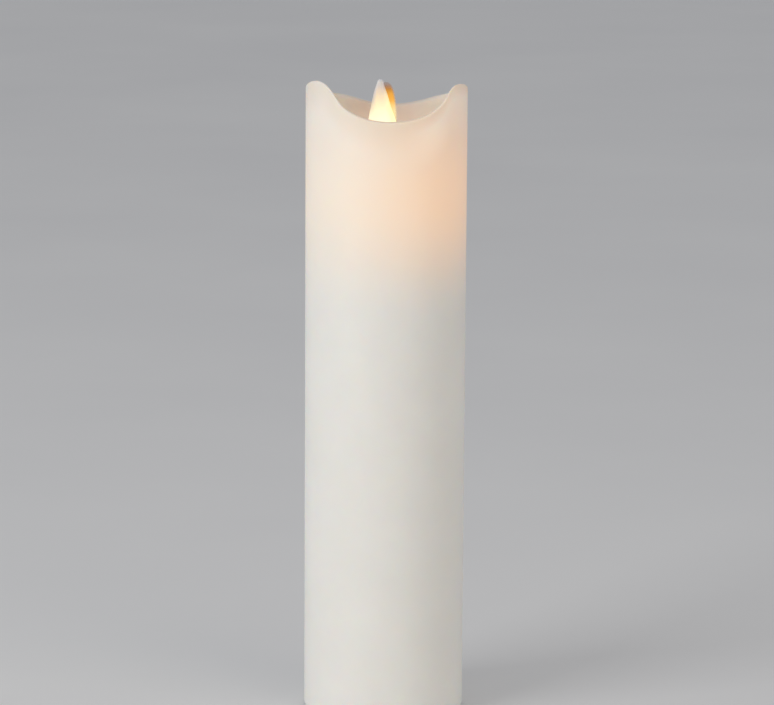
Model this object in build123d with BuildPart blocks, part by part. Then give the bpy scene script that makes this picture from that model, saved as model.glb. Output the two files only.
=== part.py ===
"""Flameless LED pillar candle: a hollow wax shell over a plastic core with a swinging flame.

The origin is the centre of the footprint, on the surface that the candle stands on.
+Z is up and -Y is the front. Every size is in millimetres.
"""

import os
from math import cos, pi, radians, sin, tan

from build123d import *

# ---------------------------------------------------------------- driving dimensions
candle_radius = 37.5
candle_height = 300.0
wax_wall = 5.0
foot_height = 1.2

# Wax shell: the bore below, the pan that the flame comes up through, and the well above it.
wax_bore_radius = candle_radius - wax_wall
well_radius = 32.2
well_mouth_radius = 33.0
pan_underside = 260.5
pan_edge_height = 267.0
pan_lip_height = 265.5
pan_corner = 4.0
port_radius = 11.6

# Inner sleeve and the deck that divides the lit top from the dark body.
sleeve_radius = 32.2
sleeve_bore = 31.1
sleeve_bottom = 3.1
sleeve_top = 260.0
deck_height = 210.0
deck_thickness = 2.0
deck_radius = 30.7
deck_boss_circle = 27.6
deck_boss_radius = 4.0
deck_boss_angles = (90, 210, 330)
deck_boss_length = 9.0

# Base housing.
floor_thickness = 1.8
floor_top = foot_height + floor_thickness
flange_radius = 32.1
skirt_radius = 30.8
skirt_wall = 1.2
skirt_height = 12.0
bay_half_length = 27.2
bay_half_width = 15.6
bay_ceiling = 19.6
bay_roof = 21.0
bay_wall = 1.2

# Cells, size AA.
cell_radius = 7.1
cell_body_length = 49.2
cell_nub_length = 1.3
cell_nub_radius = 2.75
cell_spacing = 14.9
cell_height = 11.4
contact_thickness = 0.4
contact_face = bay_half_length - contact_thickness

# Battery door, hinged along its front edge.
door_thickness = 1.6
door_top = foot_height + door_thickness
door_half_length = 26.9
door_front = -15.9
door_back = 16.2
door_corner_radius = 30.2
hinge_y = -18.6
hinge_z = 2.6
hinge_knuckle_radius = 1.4
hinge_pin_radius = 0.6
hinge_half_width = 7.2
hinge_lug_end = 10.2
hinge_pocket_front = hinge_y - 2.3
latch_half_width = 4.0

# Slide switch: three places, two millimetres apart.
switch_y = 22.0
switch_travel = 4.0
switch_half_length = 6.5
switch_half_width = 3.0
switch_bottom = 4.9
board_bottom = 9.4
board_thickness = 1.6
board_top = board_bottom + board_thickness
board_front = 17.4
board_radius = 29.2
board_post = (14.5, 22.5)

# Flame module.
module_radius = 14.5
module_wall = 1.6
module_top = 266.4
neck_radius = 11.2
neck_bore = 9.9
pivot_z = 248.0
pivot_wire_radius = 0.4
pivot_clearance = 0.05
parting_gap = 0.05
ear_x = 16.6
ear_heights = (217.0, 250.0)
ear_radius = 3.0
ear_depth = 4.0
tab_y = 18.5

# Flame blade: height above the stand, centre, half width and half depth of each section.
# The flame is moulded with a lean of about three degrees to the left.
flame_sections = (
    (262.0, -0.8, 3.0, 1.2),
    (266.5, -1.2, 4.7, 1.9),
    (272.0, -1.6, 6.3, 2.5),
    (279.0, -2.05, 6.35, 2.5),
    (284.1, -2.55, 5.05, 2.1),
    (288.7, -2.8, 3.9, 1.7),
    (293.4, -3.0, 2.6, 1.3),
    (297.0, -2.9, 1.5, 1.0),
)
flame_tip = 298.4
fin_y = 1.0
fin_thickness = 0.7
magnet_radius = 4.5
magnet_height = 4.0
magnet_bottom = 220.6
magnet_shift = 1.03
cup_wall = 1.1
coil_bottom = module_wall + deck_height + 0.1
coil_top = 218.6
led_tilt = 11.0
led_seat = (-6.9, 252.9)
led_leg_spacing = 2.54

# Wiring: four conductors side by side, from the module down to the plug on the board.
wire_radius = 0.6
wire_places = (-3.75, -1.25, 1.25, 3.75)
plug_y = 22.4

base_screw_places = ((-19.8, -21.0), (19.8, -21.0))
base_boss_radius = 3.3
base_boss_top = 13.0
foot_places = ((-12.8, -25.2), (12.8, -25.2), (-19.5, 20.4), (19.5, 20.4))
foot_radius = 3.2
foot_recess = 0.5
fit_gap = 0.02
edge_break = 0.3

pieces = []


def keep(part, name):
    """Labels a finished piece and puts it on the list to be written."""
    part.label = name
    pieces.append(part)


def disc(radius, bottom, top, places=((0, 0),)):
    """Upright round bars, at the given places, between two heights."""
    with BuildPart() as bars:
        with BuildSketch(Plane.XY.offset(bottom)):
            with Locations(*places):
                Circle(radius)
        extrude(amount=top - bottom)
    return bars.part


def block(x_range, y_range, z_range):
    """A box between two corners, given as three ranges."""
    with BuildPart() as box:
        with BuildSketch(Plane.XY.offset(z_range[0])):
            with Locations(((x_range[0] + x_range[1]) / 2, (y_range[0] + y_range[1]) / 2)):
                Rectangle(x_range[1] - x_range[0], y_range[1] - y_range[0])
        extrude(amount=z_range[1] - z_range[0])
    return box.part


def rod_along_y(radius, x, z, y_range):
    """A round bar that runs front to back."""
    with BuildPart() as rod:
        with BuildSketch(Plane.XZ.offset(-y_range[1])):
            with Locations((x, z)):
                Circle(radius)
        extrude(amount=y_range[1] - y_range[0])
    return rod.part


def pan_head_screw(shank_radius, length, head_radius, head_height):
    """A cross-head screw with its head seated on z = 0 and its shank pointing down."""
    slot = head_radius * 1.1
    with BuildPart() as screw:
        with BuildSketch():
            Circle(head_radius)
        extrude(amount=head_height)
        fillet(screw.faces().sort_by(Axis.Z)[-1].edges(), head_height * 0.55)
        with BuildSketch(Plane.XY.offset(head_height)):
            Rectangle(slot, slot * 0.22)
            Rectangle(slot * 0.22, slot)
        extrude(amount=-head_height * 0.6, mode=Mode.SUBTRACT)
        with BuildSketch():
            Circle(shank_radius)
        extrude(amount=-length)
        chamfer(screw.faces().sort_by(Axis.Z)[0].edges(), shank_radius * 0.45)
    return screw.part


def bend_radii(points):
    """The largest even bends for a route: 0.45 of the shorter run over half the turn's tangent."""
    runs = [Vector(b) - Vector(a) for a, b in zip(points, points[1:])]
    return [
        0.45 * min(before.length, after.length) / tan(radians(before.get_angle(after) / 2))
        for before, after in zip(runs, runs[1:])
    ]


def wire_run(points):
    """An insulated wire along straight runs joined by tangent arcs."""
    radii = bend_radii(points)
    with BuildPart() as run:
        with BuildLine() as path:
            FilletPolyline(*points, radius=radii)
        with BuildSketch(Plane(origin=path.line @ 0, z_dir=path.line % 0)):
            Circle(wire_radius)
        sweep()
    expected = pi * wire_radius**2 * sum(edge.length for edge in path.edges())
    print(f"wire: bends {min(radii):.1f} to {max(radii):.0f} mm, "
          f"volume {run.part.volume:.1f} of {expected:.1f} mm3")
    return run.part


# ---------------------------------------------------------------- wax shell
# The rim dips at the front and the back between two peaks, and falls away behind them. It is
# one ruled cut between two profiles, which stand 40 mm in front of and behind the axis.
rim_front = (
    (-39.0, 306.0),
    (-35.5, 306.5),
    (-32.0, 305.5),
    (-29.0, 303.4),
    (-26.5, 300.2),
    (-24.2, 296.0),
    (-22.2, 292.0),
    (-20.0, 289.3),
    (-17.0, 287.3),
    (-10.5, 284.5),
    (0.0, 282.9),
    (10.0, 283.4),
    (18.0, 285.3),
    (23.0, 288.2),
    (26.6, 291.6),
    (28.1, 295.4),
    (29.4, 300.0),
    (32.0, 303.4),
    (35.0, 305.8),
    (39.0, 308.6),
)
rim_back = (
    (-39.0, 283.2),
    (-34.0, 284.6),
    (-29.0, 286.1),
    (-23.0, 287.3),
    (-17.0, 286.6),
    (-8.0, 283.8),
    (0.0, 282.6),
    (9.0, 283.3),
    (16.0, 284.9),
    (23.0, 286.9),
    (28.0, 286.9),
    (33.0, 285.0),
    (39.0, 281.6),
)
rim_plane = 40.0


def rim_profile(points, depth):
    """The region above one rim profile, on the plane that far in front of the axis."""
    top = candle_height + 12
    with BuildSketch(Plane.XZ.offset(depth)) as region:
        with BuildLine():
            Spline(*points)
            Polyline(points[-1], (points[-1][0], top), (points[0][0], top), points[0])
        make_face()
    return region.sketch


with BuildPart() as wax_shell:
    with BuildSketch(Plane.XZ):
        with BuildLine():
            Polyline(
                (port_radius + 1.0, pan_lip_height),
                (well_radius - pan_corner, pan_edge_height - 0.3),
            )
            ThreePointArc(
                (well_radius - pan_corner, pan_edge_height - 0.3),
                (well_radius - pan_corner * 0.29, pan_edge_height + pan_corner * 0.24),
                (well_radius, pan_edge_height + pan_corner),
            )
            Polyline(
                (well_radius, pan_edge_height + pan_corner),
                (well_mouth_radius, candle_height),
                (candle_radius, candle_height),
                (candle_radius, foot_height),
                (wax_bore_radius, foot_height),
                (wax_bore_radius, pan_underside),
                (port_radius, pan_underside),
                (port_radius, pan_lip_height - 1.0),
            )
            ThreePointArc(
                (port_radius, pan_lip_height - 1.0),
                (port_radius + 0.29, pan_lip_height - 0.29),
                (port_radius + 1.0, pan_lip_height),
            )
        make_face()
    revolve(axis=Axis.Z)
    loft([rim_profile(rim_front, rim_plane), rim_profile(rim_back, -rim_plane)], ruled=True,
         mode=Mode.SUBTRACT)
keep(wax_shell.part, "wax_shell")

# ---------------------------------------------------------------- inner sleeve
deck_boss_places = [
    (deck_boss_circle * cos(radians(angle)), deck_boss_circle * sin(radians(angle)))
    for angle in deck_boss_angles
]
screw_pilot = 1.1 + fit_gap

with BuildPart() as inner_sleeve:
    with BuildSketch(Plane.XY.offset(sleeve_bottom)):
        Circle(sleeve_radius)
        Circle(sleeve_bore, mode=Mode.SUBTRACT)
    extrude(amount=sleeve_top - sleeve_bottom)
    add(disc(deck_boss_radius, deck_height - deck_thickness - deck_boss_length,
             deck_height - deck_thickness, deck_boss_places))
    add(disc(base_boss_radius, sleeve_bottom, base_boss_top, base_screw_places))
    add(disc(screw_pilot, deck_height - deck_thickness - deck_boss_length + 1,
             deck_height, deck_boss_places), mode=Mode.SUBTRACT)
    add(disc(screw_pilot, 0, base_boss_top - 1, base_screw_places), mode=Mode.SUBTRACT)
    add(block((-4.3, 4.3), (sleeve_bore - 2, sleeve_radius + 1), (5.7, 8.3)), mode=Mode.SUBTRACT)
keep(inner_sleeve.part, "inner_sleeve")

# ---------------------------------------------------------------- deck
with BuildPart() as deck_plate:
    with BuildSketch(Plane.XY.offset(deck_height - deck_thickness)):
        Circle(deck_radius)
        with Locations((0, -10.6)):
            SlotOverall(13.0, 3.4, mode=Mode.SUBTRACT)
        with Locations(*deck_boss_places):
            Circle(1.4, mode=Mode.SUBTRACT)
    extrude(amount=deck_thickness)
    add(disc(3.0, deck_height - 7.0, deck_height - deck_thickness, ((0, -tab_y), (0, tab_y))))
    add(disc(screw_pilot, deck_height - 6.0, deck_height, ((0, -tab_y), (0, tab_y))),
        mode=Mode.SUBTRACT)
keep(deck_plate.part, "deck_plate")

deck_screw = pan_head_screw(1.1, 7.0, 2.2, 1.5)
with BuildPart() as deck_screws:
    with Locations(*[(x, y, deck_height) for x, y in deck_boss_places]):
        add(deck_screw)
keep(deck_screws.part, "deck_screws")

# ---------------------------------------------------------------- flame module casing
neck_start = 257.5
shoulder = 254.0
chamber_radius = module_radius - module_wall


def module_outline():
    """The outside of the casing: a drum, a short cone and the neck, with ears and tabs."""
    with BuildPart() as outline:
        with BuildSketch(Plane.XZ):
            Polygon(
                (0, deck_height),
                (module_radius, deck_height),
                (module_radius, shoulder),
                (neck_radius, neck_start),
                (neck_radius, module_top),
                (0, module_top),
                align=None,
            )
        revolve(axis=Axis.Z)
        for side in (-1, 1):
            for height in ear_heights:
                add(rod_along_y(ear_radius, side * ear_x, height, (-ear_depth, ear_depth)))
                add(block(sorted((side * 10, side * ear_x)), (-ear_depth, ear_depth),
                          (height - ear_radius, height + ear_radius)))
            add(block((-4, 4), sorted((side * 10, side * (tab_y + 4))),
                      (deck_height, deck_height + 2)))
    return outline.part


def module_chamber():
    """The space inside the casing, open through the neck."""
    with BuildPart() as chamber:
        with BuildSketch(Plane.XZ):
            Polygon(
                (0, deck_height + module_wall),
                (chamber_radius, deck_height + module_wall),
                (chamber_radius, shoulder - 0.2),
                (neck_bore, neck_start - 0.5),
                (neck_bore, module_top + 1),
                (0, module_top + 1),
                align=None,
            )
        revolve(axis=Axis.Z)
    return chamber.part


def module_half(side):
    """One half of the casing: side is -1 for the front and 1 for the rear."""
    wall = side * (chamber_radius + 0.2)
    ear_hole = 1.2 if side < 0 else 1.0 + fit_gap
    with BuildPart() as half:
        add(module_outline())
        add(module_chamber(), mode=Mode.SUBTRACT)
        add(block((-0.9, 0.9), sorted((side * 2.2, wall)), (pivot_z - 2.2, pivot_z + 2.6)))
        if side < 0:
            add(block((-4.2, 4.2), (wall, -4.4), (pivot_z + 2.6, pivot_z + 4.2)))
            add(disc(0.4, pivot_z, pivot_z + 6,
                     ((-led_leg_spacing / 2, led_seat[0]), (led_leg_spacing / 2, led_seat[0]))),
                mode=Mode.SUBTRACT)
            add(block((-6, 6), (-12.2, -9.0), (deck_height - 1, deck_height + module_wall + 1)),
                mode=Mode.SUBTRACT)
        add(rod_along_y(pivot_wire_radius + fit_gap, 0, pivot_z, (-13.4, 13.4)), mode=Mode.SUBTRACT)
        for x in (-ear_x, ear_x):
            for height in ear_heights:
                add(rod_along_y(ear_hole, x, height, (-ear_depth - 1, ear_depth + 1)),
                    mode=Mode.SUBTRACT)
        add(disc(1.4, deck_height - 1, deck_height + 3, ((0, side * tab_y),)), mode=Mode.SUBTRACT)
        kept = Keep.TOP if side < 0 else Keep.BOTTOM
        split(bisect_by=Plane.XZ.offset(-side * parting_gap), keep=kept)
    return half.part


keep(module_half(-1), "module_front_half")
keep(module_half(1), "module_rear_half")

ear_screw = pan_head_screw(1.0, 7.0, 1.9, 1.3)
with BuildPart() as module_half_screws:
    for x in (-ear_x, ear_x):
        for height in ear_heights:
            with Locations(Location((x, -ear_depth, height), (90, 0, 0))):
                add(ear_screw)
keep(module_half_screws.part, "module_half_screws")

tab_screw = pan_head_screw(1.1, 7.0, 2.2, 1.5)
with BuildPart() as module_tab_screws:
    with Locations((0, -tab_y, deck_height + 2), (0, tab_y, deck_height + 2)):
        add(tab_screw)
keep(module_tab_screws.part, "module_tab_screws")

# ---------------------------------------------------------------- flame blade and its pendulum
fin_outline = (
    (-1.6, 274.0),
    (4.9, 274.0),
    (4.85, 279.0),
    (4.7, 284.0),
    (4.2, 288.7),
    (3.3, 293.0),
    (2.2, 295.6),
    (0.8, 296.9),
    (-1.6, 297.3),
)

with BuildPart() as flame_blade:
    for height, centre, half_width, half_depth in flame_sections:
        with BuildSketch(Plane.XY.offset(height)):
            with Locations((centre, 0)):
                Ellipse(half_width, half_depth)
    loft()
    # Rounded tip.
    tip_height, tip_centre, tip_half_width, tip_half_depth = flame_sections[-1]
    with BuildSketch(Plane.XY.offset(tip_height)):
        with Locations((tip_centre, 0)):
            Ellipse(tip_half_width, tip_half_depth)
    extrude(amount=flame_tip - tip_height, taper=30)
    # Thin trailing edge on the right of the flame.
    with BuildSketch(Plane.XZ.offset(-fin_y - fin_thickness / 2)):
        with BuildLine():
            Polyline(fin_outline[0], fin_outline[1])
            Spline(*fin_outline[1:])
            Line(fin_outline[-1], fin_outline[0])
        make_face()
    extrude(amount=fin_thickness)
    # Stem, hub, tail and the cup that holds the magnet.
    add(block((-2.6, 2.6), (-1.1, 1.1), (pivot_z, flame_sections[0][0] + 2)))
    add(rod_along_y(3.0, 0, pivot_z, (-1.5, 1.5)))
    cup_top = magnet_bottom + magnet_height + cup_wall
    add(block((-1.8, 1.8), (-1.0, 1.0), (cup_top - 0.5, pivot_z)))
    add(disc(magnet_radius + cup_wall, magnet_bottom, cup_top, ((magnet_shift, 0),)))
    add(disc(magnet_radius + fit_gap, magnet_bottom - 1, cup_top - cup_wall, ((magnet_shift, 0),)),
        mode=Mode.SUBTRACT)
    add(rod_along_y(pivot_wire_radius + pivot_clearance, 0, pivot_z, (-2, 2)), mode=Mode.SUBTRACT)
keep(flame_blade.part, "flame_blade")

with BuildPart() as flame_magnet:
    with BuildSketch(Plane.XY.offset(magnet_bottom)):
        with Locations((magnet_shift, 0)):
            Circle(magnet_radius)
    extrude(amount=magnet_height)
    chamfer(flame_magnet.edges().filter_by(GeomType.CIRCLE), 0.25)
keep(flame_magnet.part, "flame_magnet")

keep(rod_along_y(pivot_wire_radius, 0, pivot_z, (-13.3, 13.3)), "pivot_wire")

# ---------------------------------------------------------------- drive coil
with BuildPart() as coil_bobbin:
    with BuildSketch(Plane.XZ):
        Polygon(
            (1.2, coil_bottom),
            (7.0, coil_bottom),
            (7.0, coil_bottom + 0.8),
            (2.4, coil_bottom + 0.8),
            (2.4, coil_top - 0.8),
            (7.0, coil_top - 0.8),
            (7.0, coil_top),
            (1.2, coil_top),
            align=None,
        )
    revolve(axis=Axis.Z)
keep(coil_bobbin.part, "coil_bobbin")

with BuildPart() as coil_winding:
    with BuildSketch(Plane.XY.offset(coil_bottom + 0.85)):
        Circle(6.3)
        Circle(2.4 + fit_gap, mode=Mode.SUBTRACT)
    extrude(amount=coil_top - coil_bottom - 1.7)
    fillet(coil_winding.edges().filter_by(GeomType.CIRCLE).group_by(SortBy.RADIUS)[-1], 0.6)
keep(coil_winding.part, "coil_winding")

# ---------------------------------------------------------------- light source
led_plane = Plane(
    origin=(0, *led_seat), x_dir=(1, 0, 0), z_dir=Vector(0, 0, 1).rotate(Axis.X, -led_tilt)
)
led_lens_radius = 2.5

with BuildPart() as led_emitter:
    with BuildSketch(led_plane):
        Circle(2.9)
    extrude(amount=1.0)
    with BuildSketch(led_plane.offset(1.0)):
        Circle(led_lens_radius)
    extrude(amount=7.6)
    fillet(led_emitter.edges().filter_by(GeomType.CIRCLE).sort_by(Axis.Z)[-1],
           led_lens_radius - 0.1)
keep(led_emitter.part, "led_emitter")

led_leg_places = ((-led_leg_spacing / 2, led_seat[0]), (led_leg_spacing / 2, led_seat[0]))
keep(disc(0.25, 240.0, led_seat[1] - 0.2, led_leg_places), "led_leads")

# ---------------------------------------------------------------- base housing
ridge_bottom = 4.0
ridge_top = 5.0


def bay_outline(half_length, front, back, radius):
    """The plan of the battery bay: a rectangle with its corners taken off by a circle."""
    with BuildSketch() as outline:
        with Locations((0, (front + back) / 2)):
            Rectangle(2 * half_length, back - front)
        Circle(radius, mode=Mode.INTERSECT)
    return outline.sketch


skirt_bore = skirt_radius - skirt_wall
bay_outer = bay_outline(bay_half_length + bay_wall, -bay_half_width - bay_wall,
                        bay_half_width + bay_wall, skirt_radius)
bay_inner = bay_outline(bay_half_length, -bay_half_width, bay_half_width, skirt_bore)
door_opening = bay_outline(bay_half_length, door_front - 0.8, door_back + 0.3,
                           door_corner_radius + 0.4)
door_plan = bay_outline(door_half_length, door_front, door_back, door_corner_radius)
slot_half_length = 4.4

with BuildPart() as base_housing:
    with BuildSketch(Plane.XY.offset(foot_height)):
        Circle(flange_radius)
    extrude(amount=floor_thickness)
    chamfer(base_housing.faces().sort_by(Axis.Z)[0].edges(), edge_break)
    with BuildSketch(Plane.XY.offset(floor_top)):
        Circle(skirt_radius)
        Circle(skirt_bore, mode=Mode.SUBTRACT)
    extrude(amount=skirt_height - floor_top)
    with BuildSketch(Plane.XY.offset(floor_top)):
        add(bay_outer)
    extrude(amount=bay_roof - floor_top)
    with BuildSketch(Plane.XY.offset(floor_top)):
        add(bay_inner)
    extrude(amount=bay_ceiling - floor_top, mode=Mode.SUBTRACT)
    with BuildSketch(Plane.XY.offset(foot_height)):
        add(door_opening)
    extrude(amount=floor_thickness, mode=Mode.SUBTRACT)
    # Clearance in the skirt for the sleeve's screw bosses, and the screws' counterbored holes.
    add(disc(base_boss_radius + 0.3, floor_top, skirt_height, base_screw_places),
        mode=Mode.SUBTRACT)
    add(disc(1.4, foot_height, floor_top, base_screw_places), mode=Mode.SUBTRACT)
    add(disc(2.5, foot_height, foot_height + 1.0, base_screw_places), mode=Mode.SUBTRACT)
    # Hinge pocket with a lug at each end for the pin.
    pocket_end = hinge_half_width + 0.3
    for side in (-1, 1):
        add(block(sorted((side * pocket_end, side * hinge_lug_end)), (hinge_y - 1.8, hinge_y + 1.8),
                  (foot_height, hinge_z + 1.8)))
    add(block((-pocket_end, pocket_end), (hinge_pocket_front, door_front),
              (0, floor_top)), mode=Mode.SUBTRACT)
    with BuildSketch(Plane.YZ.offset(-hinge_lug_end)):
        with Locations((hinge_y, hinge_z)):
            Circle(hinge_pin_radius + fit_gap)
    extrude(amount=2 * hinge_lug_end, mode=Mode.SUBTRACT)
    # Notch in the rear wall of the bay that the latch's ridge snaps into.
    add(block((-latch_half_width - 0.4, latch_half_width + 0.4),
              (bay_half_width - 1, door_back + 0.3), (floor_top - 1, 6.6)), mode=Mode.SUBTRACT)
    # Slots in the roof for the solder tabs.
    for y in (-cell_spacing / 2, cell_spacing / 2):
        add(block((contact_face - 0.3, bay_half_length), (y - 1.7, y + 1.7),
                  (bay_ceiling - 1, bay_roof + 1)), mode=Mode.SUBTRACT)
    # Posts for the circuit board.
    board_post_places = ((-board_post[0], board_post[1]), board_post)
    add(disc(2.2, floor_top, board_bottom, board_post_places))
    add(disc(0.9 + fit_gap, floor_top + 1, board_bottom, board_post_places), mode=Mode.SUBTRACT)
    # Slot for the switch knob, with a shallow finger dish round it.
    add(block((-slot_half_length, slot_half_length), (switch_y - 1.9, switch_y + 1.9),
              (0, floor_top + 1)), mode=Mode.SUBTRACT)
    add(block((-slot_half_length - 1.5, slot_half_length + 1.5), (switch_y - 3.2, switch_y + 3.2),
              (0, foot_height + 0.7)), mode=Mode.SUBTRACT)
    # Fingernail notch beside the latch, foot recesses and the tongue that locks into the sleeve.
    add(block((-5, 5), (door_back, door_back + 2.0), (0, foot_height + 1.0)), mode=Mode.SUBTRACT)
    add(disc(foot_radius + 0.1, foot_height, foot_height + foot_recess, foot_places),
        mode=Mode.SUBTRACT)
    add(block((-4, 4), (skirt_bore + 0.5, 31.9), (6, 8)))
keep(base_housing.part, "base_housing")

base_screw = pan_head_screw(1.1, 7.5, 2.2, 0.9)
with BuildPart() as base_screws:
    for x, y in base_screw_places:
        with Locations(Location((x, y, foot_height + 1.0), (180, 0, 0))):
            add(base_screw)
keep(base_screws.part, "base_screws")

with BuildPart() as rubber_feet:
    with BuildSketch():
        with Locations(*foot_places):
            Circle(foot_radius)
    extrude(amount=foot_height + foot_recess)
    fillet(rubber_feet.edges().filter_by(GeomType.CIRCLE).group_by(Axis.Z)[0], 0.4)
keep(rubber_feet.part, "rubber_feet")

# ---------------------------------------------------------------- battery door
with BuildPart() as battery_door:
    with BuildSketch(Plane.XY.offset(foot_height)):
        add(door_plan)
    extrude(amount=door_thickness)
    chamfer(battery_door.faces().sort_by(Axis.Z)[0].edges(), edge_break)
    add(block((-hinge_half_width, hinge_half_width), (hinge_y, door_front + 1),
              (foot_height, door_top)))
    with BuildSketch(Plane.YZ.offset(-hinge_half_width)):
        with Locations((hinge_y, hinge_z)):
            Circle(hinge_knuckle_radius)
    extrude(amount=2 * hinge_half_width)
    # Spring latch: an arm that stands up inside the bay, with a ridge on its outer face.
    add(block((-latch_half_width, latch_half_width), (14.2, 15.2), (door_top - 0.5, 6.2)))
    add(block((-latch_half_width, latch_half_width), (15.0, door_back), (ridge_bottom, ridge_top)))
    # Grip ribs on the outside, by the latch.
    for y in (9.5, 11.0, 12.5, 14.0):
        add(block((-6, 6), (y - 0.35, y + 0.35), (foot_height - 0.1, foot_height + 0.35)),
            mode=Mode.SUBTRACT)
    with BuildSketch(Plane.YZ.offset(-hinge_half_width)):
        with Locations((hinge_y, hinge_z)):
            Circle(hinge_pin_radius + 0.06)
    extrude(amount=2 * hinge_half_width, mode=Mode.SUBTRACT)
keep(battery_door.part, "battery_door")

with BuildPart() as door_hinge_pin:
    with BuildSketch(Plane.YZ.offset(-hinge_lug_end)):
        with Locations((hinge_y, hinge_z)):
            Circle(hinge_pin_radius)
    extrude(amount=2 * hinge_lug_end)
keep(door_hinge_pin.part, "door_hinge_pin")


# ---------------------------------------------------------------- cells and contacts
def cell(direction):
    """One cell lying along X with its positive end towards direction."""
    y = direction * cell_spacing / 2
    plane = Plane(origin=(direction * contact_face, y, cell_height), x_dir=(0, 1, 0),
                  z_dir=(-direction, 0, 0))
    with BuildPart() as body:
        with BuildSketch(plane):
            Circle(cell_nub_radius)
        extrude(amount=cell_nub_length)
        with BuildSketch(plane.offset(cell_nub_length)):
            Circle(cell_radius)
        extrude(amount=cell_body_length)
        rims = body.edges().filter_by(GeomType.CIRCLE).group_by(SortBy.RADIUS)[-1]
        fillet(rims, 0.6)
    return body.part


keep(cell(1), "battery_cell_rear")
keep(cell(-1), "battery_cell_front")

contact_z = (5.0, 18.0)
tab_top = 23.0


def end_contact(y):
    """A flat contact plate on the right end wall, with a solder tab through the roof."""
    with BuildPart() as plate:
        add(block((contact_face, bay_half_length), (y - 4, y + 4), contact_z))
        add(block((contact_face, bay_half_length), (y - 1.4, y + 1.4), (contact_z[1], tab_top)))
    return plate.part


keep(end_contact(cell_spacing / 2), "positive_contact_plate")
keep(end_contact(-cell_spacing / 2), "negative_contact_plate")
keep(block((-bay_half_length, -contact_face), (-11.4, 11.4), contact_z), "bridge_contact_plate")


def contact_spring(direction):
    """The coil spring that presses on the flat end of a cell, on the wall towards direction."""
    spring_wire = 0.35
    start = direction * (contact_face - spring_wire - 0.02)
    length = contact_face - (cell_body_length + cell_nub_length - contact_face) - 2 * spring_wire
    with BuildPart() as spring:
        with BuildLine() as path:
            Helix(pitch=1.0, height=length - 0.06, radius=3.2,
                  center=(start, -direction * cell_spacing / 2, cell_height),
                  direction=(-direction, 0, 0))
        with BuildSketch(Plane(origin=path.line @ 0, z_dir=path.line % 0)):
            Circle(spring_wire)
        sweep(is_frenet=True)
    return spring.part


keep(contact_spring(1), "negative_contact_spring")
keep(contact_spring(-1), "bridge_contact_spring")

# ---------------------------------------------------------------- slide switch
cavity_half_length = 5.7
cavity_half_width = 2.3
knob_rest_x = -switch_travel / 2

with BuildPart() as switch_body:
    add(block((-switch_half_length, switch_half_length),
              (switch_y - switch_half_width, switch_y + switch_half_width),
              (switch_bottom, board_bottom)))
    add(block((-cavity_half_length, cavity_half_length),
              (switch_y - cavity_half_width, switch_y + cavity_half_width),
              (switch_bottom + 0.5, switch_bottom + 2.6)), mode=Mode.SUBTRACT)
    add(block((-slot_half_length, slot_half_length), (switch_y - 1.7, switch_y + 1.7),
              (switch_bottom - 1, switch_bottom + 1)), mode=Mode.SUBTRACT)
keep(switch_body.part, "switch_body")

knob_bottom = foot_height + 0.5
with BuildPart() as switch_knob:
    add(block((knob_rest_x - 3.2, knob_rest_x + 3.2), (switch_y - 2.1, switch_y + 2.1),
              (switch_bottom + 0.6, switch_bottom + 2.2)))
    add(block((knob_rest_x - 2.0, knob_rest_x + 2.0), (switch_y - 1.5, switch_y + 1.5),
              (knob_bottom, switch_bottom + 1.5)))
    chamfer(switch_knob.faces().sort_by(Axis.Z)[0].edges(), edge_break)
    for x in (-1.0, 0.0, 1.0):
        add(block((knob_rest_x + x - 0.2, knob_rest_x + x + 0.2), (switch_y - 2, switch_y + 2),
                  (0, knob_bottom + 0.3)), mode=Mode.SUBTRACT)
keep(switch_knob.part, "switch_knob")

# ---------------------------------------------------------------- circuit board
with BuildPart() as control_board:
    with BuildSketch(Plane.XY.offset(board_bottom)):
        add(bay_outline(18.5, board_front, 28.4, board_radius))
        with Locations(*board_post_places):
            Circle(1.0, mode=Mode.SUBTRACT)
        with Locations(*[(x, plug_y) for x in wire_places]):
            Circle(0.45, mode=Mode.SUBTRACT)
    extrude(amount=board_thickness)
keep(control_board.part, "control_board")

board_screw = pan_head_screw(0.9, 5.0, 1.6, 1.1)
with BuildPart() as board_screws:
    with Locations(*[(x, y, board_top) for x, y in board_post_places]):
        add(board_screw)
keep(board_screws.part, "board_screws")

with BuildPart() as controller_chip:
    add(block((-13.0, -8.0), (18.4, 22.0), (board_top + 0.15, board_top + 1.65)))
    for x in (-12.4, -11.1, -9.8, -8.5):
        for y in ((17.7, 18.5), (21.9, 22.7)):
            add(block((x - 0.2, x + 0.2), y, (board_top, board_top + 0.5)))
keep(controller_chip.part, "controller_chip")

with BuildPart() as timer_crystal:
    with BuildSketch(Plane.YZ.offset(7.4)):
        with Locations((25.4, board_top + 1.0)):
            Circle(1.0)
    extrude(amount=5.0)
    fillet(timer_crystal.edges().filter_by(GeomType.CIRCLE), 0.25)
keep(timer_crystal.part, "timer_crystal")

with BuildPart() as board_capacitor:
    with BuildSketch(Plane.XY.offset(board_top)):
        with Locations((-9.4, 25.2)):
            Circle(2.0)
    extrude(amount=5.4)
    fillet(board_capacitor.edges().filter_by(GeomType.CIRCLE).sort_by(Axis.Z)[-1], 0.4)
keep(board_capacitor.part, "board_capacitor")

with BuildPart() as drive_transistor:
    add(block((-17.6, -15.0), (18.6, 19.9), (board_top + 0.1, board_top + 1.1)))
    for x in (-17.2, -15.4):
        add(block((x - 0.2, x + 0.2), (18.0, 18.7), (board_top, board_top + 0.4)))
    add(block((-16.5, -16.1), (19.8, 20.5), (board_top, board_top + 0.4)))
keep(drive_transistor.part, "drive_transistor")

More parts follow.
